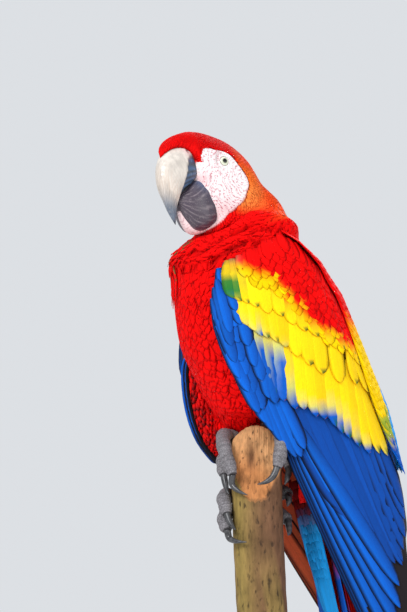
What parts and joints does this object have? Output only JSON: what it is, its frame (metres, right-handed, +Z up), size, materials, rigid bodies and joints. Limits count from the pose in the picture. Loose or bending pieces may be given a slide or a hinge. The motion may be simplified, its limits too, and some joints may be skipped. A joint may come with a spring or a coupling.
{
  "type": "perched macaw model",
  "caption": "Life-size scarlet macaw at rest on a broken branch stub, head turned, wings folded, long tail hanging, on a plain rod and round base.",
  "frame": {"origin": "centre of the underside of the round stand base, at the height of the surface it stands on, below the middle of the bird", "axes": "+Z up; the bird faces -Y, its left side is +X and its tail hangs towards +Y"},
  "size_m": [0.31, 0.3262, 0.8547],
  "materials": {
    "red_plumage": "soft satin contour feathers",
    "yellow_plumage": "satin wing coverts",
    "blue_plumage": "satin flight feathers and wing edge",
    "beak_bone": "worn horn, satin",
    "beak_dark": "striated dark horn, satin",
    "eye": "wet, glossy",
    "foot_scales": "scaly skin, matt",
    "claw_horn": "dark horn, satin",
    "bark": "rough bark with a pale broken face",
    "stand_rod": "satin steel",
    "stand_base": "matt black paint over board"
  },
  "bodies": {
    "root": {"beak_lower": "beak_dark", "beak_upper": "beak_bone", "claw_left_hind": "claw_horn", "claw_left_inner": "claw_horn", "claw_left_middle": "claw_horn", "claw_left_outer": "claw_horn", "claw_right_hind": "claw_horn", "claw_right_inner": "claw_horn", "claw_right_middle": "claw_horn", "claw_right_outer": "claw_horn", "eye_left": "eye", "eye_right": "eye", "head": "red_plumage", "neck": "red_plumage", "perch": "bark", "stand_base": "stand_base", "stand_rod": "stand_rod", "tail_coverts_lower": "blue_plumage", "tail_coverts_upper": "blue_plumage", "tail_feather_left_1": "red_plumage", "tail_feather_left_2": "red_plumage", "tail_feather_left_3": "red_plumage", "tail_feather_left_4": "red_plumage", "tail_feather_left_5": "red_plumage", "tail_feather_left_6": "red_plumage", "tail_feather_right_1": "red_plumage", "tail_feather_right_2": "red_plumage", "tail_feather_right_3": "red_plumage", "tail_feather_right_4": "red_plumage", "tail_feather_right_5": "red_plumage", "tail_feather_right_6": "red_plumage", "tarsus_left": "foot_scales", "tarsus_right": "foot_scales", "thigh_left": "red_plumage", "thigh_right": "red_plumage", "toe_left_hind": "foot_scales", "toe_left_inner": "foot_scales", "toe_left_middle": "foot_scales", "toe_left_outer": "foot_scales", "toe_right_hind": "foot_scales", "toe_right_inner": "foot_scales", "toe_right_middle": "foot_scales", "toe_right_outer": "foot_scales", "trunk": "red_plumage", "wing_left_coverts": "yellow_plumage", "wing_left_primaries": "blue_plumage", "wing_left_secondaries": "blue_plumage", "wing_left_shoulder": "red_plumage", "wing_right_coverts": "yellow_plumage", "wing_right_primaries": "blue_plumage", "wing_right_secondaries": "blue_plumage", "wing_right_shoulder": "red_plumage"}
  },
  "joints": []
}
